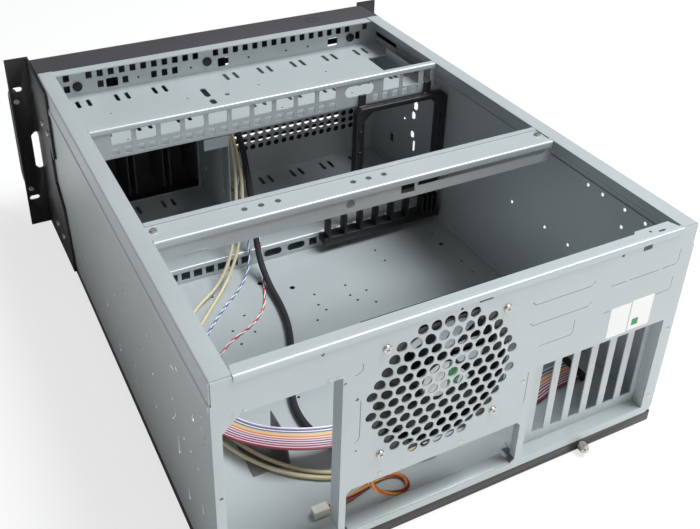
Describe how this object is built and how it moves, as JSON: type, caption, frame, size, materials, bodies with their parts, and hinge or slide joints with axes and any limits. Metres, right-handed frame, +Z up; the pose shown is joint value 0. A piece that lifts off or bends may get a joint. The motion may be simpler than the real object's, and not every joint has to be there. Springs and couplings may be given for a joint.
{
  "type": "rackmount server case",
  "caption": "Open-topped steel rack chassis with rear fan grille, card slots, supply and port openings, drive cage, moulded front, rack ears and handles.",
  "frame": {"origin": "centre of the bounding box in plan, at the underside of the bottom cover", "axes": "+Z up; +Y from the moulded front towards the rear panel; +X to the left when seen from behind"},
  "size_m": [0.4826, 0.635, 0.2233],
  "materials": {
    "bezel_plastic": "fine-grained dark grey-brown",
    "case_steel": "satin light blue-grey enamel",
    "black_plastic": "matte black",
    "blue_wire": "blue and white insulation",
    "cover_steel": "dark brown-black enamel",
    "nickel": "bright nickel",
    "white_plastic": "matte off-white",
    "ear_steel": "black powder coat",
    "fan_plastic": "smooth black",
    "board": "green laminate",
    "black_sleeve": "matte black",
    "lens": "clear",
    "orange_wire": "mixed coloured insulation",
    "bracket_steel": "grey enamel in shade",
    "red_wire": "red and white insulation",
    "ribbon": "many-coloured insulation",
    "beige_cable": "matte beige"
  },
  "bodies": {
    "chassis": {"bay_cover_1": "bezel_plastic", "bay_cover_2": "bezel_plastic", "bay_cover_3": "bezel_plastic", "bay_cover_4": "bezel_plastic", "bay_partition": "case_steel", "bezel": "bezel_plastic", "blue_plug": "black_plastic", "blue_white_pair": "blue_wire", "bottom_cover": "cover_steel", "brace_screws": "nickel", "cable_tie": "white_plastic", "card_comb": "black_plastic", "cross_brace": "case_steel", "drive_connector": "white_plastic", "ear_left": "ear_steel", "ear_right": "ear_steel", "ear_screws": "nickel", "fan_bracket": "black_plastic", "fan_frame": "black_plastic", "fan_screws": "nickel", "floor_pan": "case_steel", "front_board": "board", "front_loom": "black_sleeve", "front_panel": "case_steel", "handle_left": "ear_steel", "handle_right": "ear_steel", "handle_screws": "nickel", "led_lenses": "lens", "left_side_wall": "case_steel", "loom_plug": "black_plastic", "lower_bay_plate": "case_steel", "power_lead": "orange_wire", "psu_bracket": "bracket_steel", "push_clips": "black_plastic", "rear_panel": "case_steel", "red_plug": "black_plastic", "red_white_pair": "red_wire", "ribbon_cable": "ribbon", "ribbon_sockets": "black_plastic", "right_side_wall": "case_steel", "thumb_screw": "nickel", "upper_bay_plate": "case_steel", "usb_cable_1": "beige_cable", "usb_cable_2": "beige_cable", "usb_plug": "black_plastic", "usb_sockets": "nickel"},
    "rotor": {"fan_rotor": "fan_plastic"},
    "power": {"power_button": "black_plastic"},
    "reset": {"reset_button": "black_plastic"}
  },
  "joints": [
    {"name": "fan_spin", "type": "hinge", "parent": "chassis", "child": "rotor", "pos_m": [0.029, 0.2945, 0.1481], "axis": [0, 1, 0], "continuous": true},
    {"name": "power_press", "type": "slide", "parent": "chassis", "child": "power", "axis": [0, 1, 0], "range_m": [0, 0.0015], "stiffness_N_per_m": 800, "springref_m": -0.001},
    {"name": "reset_press", "type": "slide", "parent": "chassis", "child": "reset", "axis": [0, 1, 0], "range_m": [0, 0.0015], "stiffness_N_per_m": 600, "springref_m": -0.001}
  ]
}
